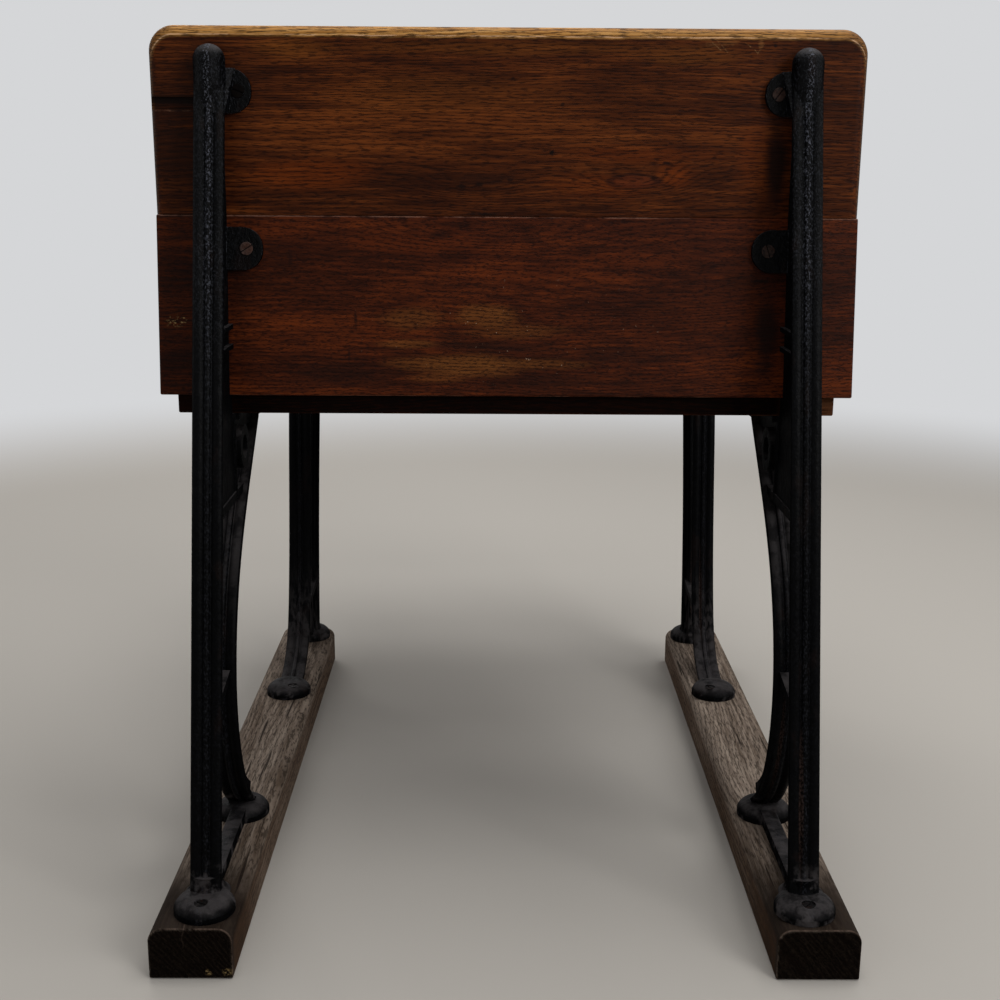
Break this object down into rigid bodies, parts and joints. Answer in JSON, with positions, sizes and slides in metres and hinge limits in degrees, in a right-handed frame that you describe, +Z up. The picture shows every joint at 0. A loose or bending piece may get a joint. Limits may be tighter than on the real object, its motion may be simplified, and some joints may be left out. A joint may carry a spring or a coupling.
{
  "type": "school desk with lift lid",
  "caption": "Oak school desk with a sloping lift lid, a book shelf and a tip-up seat, on cast-iron standards and wooden runners.",
  "frame": {"origin": "on the floor, under the middle of the desk's overall width and depth", "axes": "+Z up, +Y from the back boards towards the pupil's seat, +X to the right when the desk is seen from behind"},
  "size_m": [0.613, 0.91, 0.766],
  "materials": {
    "back_oak": "dark varnished oak, worn to bare wood on the top edge",
    "desk_oak": "varnished oak",
    "seat_oak": "varnished oak, polished by use",
    "runner_oak": "dry weathered oak",
    "cast_iron": "black paint on a sand-cast surface",
    "worn_steel": "browned",
    "brass": "tarnished",
    "porcelain": "white glaze, ink-stained"
  },
  "bodies": {
    "frame": {"back_board_lower": "back_oak", "back_board_upper": "back_oak", "backrest_rail_lower": "seat_oak", "backrest_rail_upper": "seat_oak", "backrest_screws": "worn_steel", "book_shelf": "back_oak", "box_floor": "desk_oak", "box_front": "desk_oak", "box_screws": "worn_steel", "box_side_left": "desk_oak", "box_side_right": "desk_oak", "desk_standard_left": "cast_iron", "desk_standard_right": "cast_iron", "hinge_leaf_ledge_left": "brass", "hinge_leaf_ledge_right": "brass", "hinge_pin_left": "brass", "hinge_pin_right": "brass", "hinge_screws_ledge": "worn_steel", "lug_screws": "worn_steel", "pen_ledge": "desk_oak", "runner_left": "runner_oak", "runner_right": "runner_oak", "runner_screws": "worn_steel", "seat_pivot_left": "worn_steel", "seat_pivot_right": "worn_steel", "seat_standard_left": "cast_iron", "seat_standard_right": "cast_iron", "shelf_screws": "worn_steel"},
    "lid": {"cleat_screws": "worn_steel", "hinge_leaf_lid_left": "brass", "hinge_leaf_lid_right": "brass", "hinge_screws_lid": "worn_steel", "lid_board_front": "desk_oak", "lid_board_rear": "desk_oak", "lid_cleat_left": "desk_oak", "lid_cleat_right": "desk_oak"},
    "seat": {"seat_bracket_left": "cast_iron", "seat_bracket_right": "cast_iron", "seat_screws": "worn_steel", "seat_slat_1": "seat_oak", "seat_slat_2": "seat_oak", "seat_slat_3": "seat_oak", "seat_slat_4": "seat_oak"},
    "inkwell": {"inkwell": "porcelain"}
  },
  "joints": [
    {"name": "lid_hinge", "type": "hinge", "parent": "frame", "child": "lid", "pos_m": [0, -0.12399, 0.7254], "axis": [1, 0, 0], "range_deg": [0, 105]},
    {"name": "seat_tip", "type": "hinge", "parent": "frame", "child": "seat", "pos_m": [0, 0.34501, 0.386], "axis": [-1, 0, 0], "range_deg": [0, 80]},
    {"name": "inkwell_lift", "type": "slide", "parent": "frame", "child": "inkwell", "axis": [0, 0, 1], "range_m": [0, 0.05]}
  ]
}
